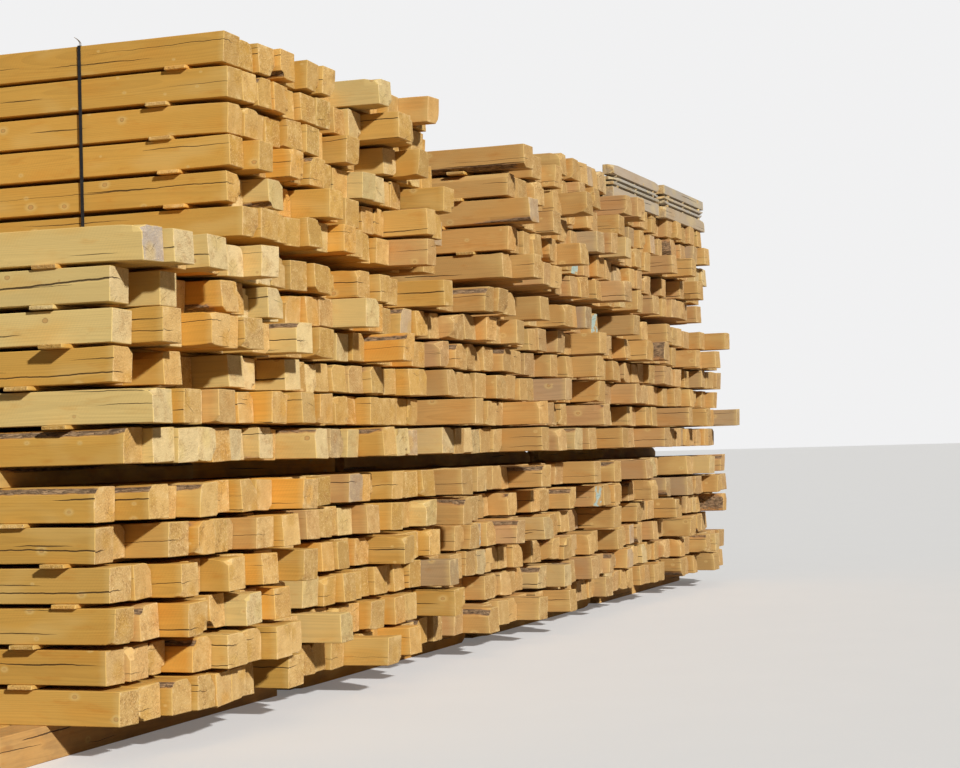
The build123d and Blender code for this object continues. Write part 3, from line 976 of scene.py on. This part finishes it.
class LUMBER_OT_piles(bpy.types.Operator):
    """Make the weathered timbers and boards on top"""

    bl_idname = "lumber.piles"
    bl_label = "Weathered piles"

    def execute(self, context):
        look = context.scene.lumber_timbers
        materials = wood_materials(look, "weathered", 0.10, GREY_STAIN)
        wear = Wear(WEATHERED_SHARES, chips=0.3, wane=0.15, skew=0.006)
        for node_name in PILE_NODES:
            dress(node_name, node_name.replace("pile_", "weathered_"), materials, look,
                  wear, PILE_GRID, long_axis=1 if node_name == "pile_spacers" else 0)
        return {"FINISHED"}


# Width of a strap as the solid has it, and as the photograph shows it
SOLID_BAND = 0.027
SHOWN_BAND = 0.022

# Worn edges and thicknesses of the strap's parts, and how far a seal reaches past the band
BAND_EDGE = 0.0004
SEAL_EDGE = 0.0006
SEAL_THICKNESS = 0.0032
SEAL_MARGIN = 0.005
TAIL_THICKNESS = 0.0009

# Where the first seal sits, how much farther in the second one is, and the crimps along each
SEAL_INSET = 0.30
SEAL_STEP = 0.22
CRIMPS = 3
CRIMP_DEPTH = 0.10

# Where the tail starts and how far it sways, and its lean and rise as shares of its size. Towards its tip it
# narrows by a share of its width and turns by an angle.
TAIL_INSET = 0.012
TAIL_LIFT = 0.001
TAIL_SWAY = 0.012
TAIL_LEAN = 0.65
TAIL_RISE = 0.9
TAIL_TAPER = 0.55
TAIL_TWIST = 0.9


def band_piece(name, bm, material):
    """Turns a finished bmesh into a piece of the strap."""
    bmesh.ops.recalc_face_normals(bm, faces=bm.faces)
    piece = add_object(name, mesh_from(bm, name, [material]))
    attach(piece, "root")
    return piece


class LUMBER_OT_straps(bpy.types.Operator):
    """Make the straps, their seals and the loose tail"""

    bl_idname = "lumber.straps"
    bl_label = "Straps"

    def execute(self, context):
        look = context.scene.lumber_straps
        band = plain_band_material("strap_band", look.band, 0.62, 0.07)
        tail_finish = plain_band_material("strap_tail", look.tail, 0.6, 0.3)
        metal = seal_material("strap_seal")
        low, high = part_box("straps")
        lines = (low.y + SOLID_BAND / 2, high.y - SOLID_BAND / 2)
        bm = merged_copy("straps")
        break_edges(bm, BAND_EDGE)
        for vert in bm.verts:
            line = lines[0] if vert.co.y < 0 else lines[1]
            vert.co.y = line + (vert.co.y - line) * SHOWN_BAND / SOLID_BAND
        straps = band_piece("strap_bands", bm, band)
        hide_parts("straps")

        for number, line in enumerate(lines):
            centre = Vector((low.x + SEAL_INSET + SEAL_STEP * number, line, high.z))
            seal = bmesh.new()
            bmesh.ops.create_cube(seal, size=1.0)
            size = (look.seal_length, SHOWN_BAND + SEAL_MARGIN, SEAL_THICKNESS)
            bmesh.ops.scale(seal, vec=size, verts=seal.verts)
            bmesh.ops.subdivide_edges(seal, edges=edges_along(seal, 0, 0.02), cuts=2 * CRIMPS,
                                      use_grid_fill=True)
            for vert in seal.verts:
                crimp = 0.5 + 0.5 * math.cos(vert.co.x / look.seal_length * 2 * CRIMPS * math.pi)
                vert.co.y *= 1.0 - CRIMP_DEPTH * crimp
            break_edges(seal, SEAL_EDGE)
            bmesh.ops.translate(seal, vec=centre, verts=seal.verts)
            band_piece(f"strap_seal_{number + 1}", seal, metal)

            # A short tail stands up, twisted, from the near top edge
            tail = bmesh.new()
            bmesh.ops.create_grid(tail, x_segments=14, y_segments=1, size=0.5)
            for vert in tail.verts:
                share = vert.co.x + 0.5
                across = vert.co.y * SHOWN_BAND * (1.0 - TAIL_TAPER * share)
                twist = TAIL_TWIST * share
                vert.co = (TAIL_SWAY * math.sin(share * 3.0) + across * math.sin(twist),
                           TAIL_LEAN * look.tail_size * share * share + across * math.cos(twist),
                           TAIL_LIFT + look.tail_size * TAIL_RISE * share)
            foot = Vector((low.x + TAIL_INSET, line, high.z))
            bmesh.ops.translate(tail, vec=foot, verts=tail.verts)
            bmesh.ops.solidify(tail, geom=list(tail.faces), thickness=TAIL_THICKNESS)
            band_piece(f"strap_tail_{number + 1}", tail, tail_finish)
        return {"FINISHED"}


# The camera, from the fit of the photograph's perspective: metres from the near corner of the row, degrees
CAMERA_PLACE = (-8.593, -5.087, 1.486)
CAMERA_YAW = 19.94
CAMERA_PITCH = 1.862
CAMERA_ROLL = -1.602
SENSOR_WIDTH = 36.0

# Half the width of the floor, the way in which the main light shines, and the tint of the light all round
FLOOR_REACH = 400.0
KEY_DIRECTION = (0.53, 0.72, -0.45)
SKY_TINT = (1.0, 0.94, 0.86, 1)


class LUMBER_OT_stage(bpy.types.Operator):
    """Make the floor, the light and the camera"""

    bl_idname = "lumber.stage"
    bl_label = "Stage"

    def execute(self, context):
        look = context.scene.lumber_stage
        scene = context.scene
        scene.view_settings.view_transform = "Standard"

        bm = bmesh.new()
        bmesh.ops.create_grid(bm, x_segments=2, y_segments=2, size=FLOOR_REACH)
        floor = add_object("floor", mesh_from(bm, "floor", [floor_material(look)]))

        scene.world = bpy.data.worlds.new("plain_background")
        g = Graph(scene.world)
        light = g.node("ShaderNodeBackground", None, {"Color": SKY_TINT, "Strength": look.sky_light})
        shown = g.node("ShaderNodeBackground", None,
                       {"Color": (look.sky, look.sky, look.sky * 1.005, 1), "Strength": 1.0})
        sky = g.node("ShaderNodeMixShader", None, {0: seen_directly(g), 1: light, 2: shown})
        g.node("ShaderNodeOutputWorld", None, {0: sky})

        key_data = bpy.data.lights.new("key", "SUN")
        key_data.energy = look.key_light
        key_data.angle = look.key_softness
        key = add_object("key", key_data)
        key.rotation_mode = "QUATERNION"
        key.rotation_quaternion = Vector(KEY_DIRECTION).to_track_quat("-Z", "Y")

        camera_data = bpy.data.cameras.new("camera")
        camera_data.lens = look.lens
        camera_data.sensor_width = SENSOR_WIDTH
        camera_data.clip_end = 1000.0
        camera = add_object("camera", camera_data)
        yaw, pitch, roll = (math.radians(angle) for angle in (CAMERA_YAW, CAMERA_PITCH, CAMERA_ROLL))
        forward = Vector((math.cos(pitch) * math.cos(yaw), math.cos(pitch) * math.sin(yaw), math.sin(pitch)))
        right = forward.cross(Vector((0, 0, 1))).normalized()
        above = right.cross(forward)
        side = right * math.cos(roll) + above * math.sin(roll)
        top = above * math.cos(roll) - right * math.sin(roll)
        turn = Matrix((side, top, -forward)).transposed()
        place = Vector((ROW_START, FRONT_LINE, 0)) + Vector(CAMERA_PLACE)
        camera.matrix_world = Matrix.Translation(place) @ turn.to_4x4()
        scene.camera = camera
        return {"FINISHED"}


class LUMBER_PT_panel(bpy.types.Panel):
    """Lists the operators and the look of the stack"""

    bl_label = "Lumber Stack"
    bl_idname = "LUMBER_PT_panel"
    bl_space_type = "VIEW_3D"
    bl_region_type = "UI"
    bl_category = "Lumber Stack"

    def draw(self, context):
        layout = self.layout
        for operator in OPERATORS:
            layout.operator(operator.bl_idname)
        for group in LOOKS:
            box = layout.box()
            look = getattr(context.scene, group)
            for key in look.__annotations__:
                box.prop(look, key)


OPERATORS = (LUMBER_OT_stage, LUMBER_OT_bundles, LUMBER_OT_stickers, LUMBER_OT_bearers, LUMBER_OT_piles,
             LUMBER_OT_straps)
LOOKS = {"lumber_timbers": LumberTimberLook, "lumber_straps": LumberStrapLook,
         "lumber_stage": LumberStageLook}
CLASSES = (*LOOKS.values(), *OPERATORS, LUMBER_PT_panel)


def register():
    for cls in CLASSES:
        bpy.utils.register_class(cls)
    for name, group in LOOKS.items():
        setattr(bpy.types.Scene, name, bpy.props.PointerProperty(type=group))


def unregister():
    for name in LOOKS:
        delattr(bpy.types.Scene, name)
    for cls in reversed(CLASSES):
        bpy.utils.unregister_class(cls)


def main():
    register()
    bpy.ops.lumber.stage()
    bpy.ops.lumber.bundles()
    bpy.ops.lumber.stickers()
    bpy.ops.lumber.bearers()
    bpy.ops.lumber.piles()
    bpy.ops.lumber.straps()


if __name__ == "__main__":
    main()
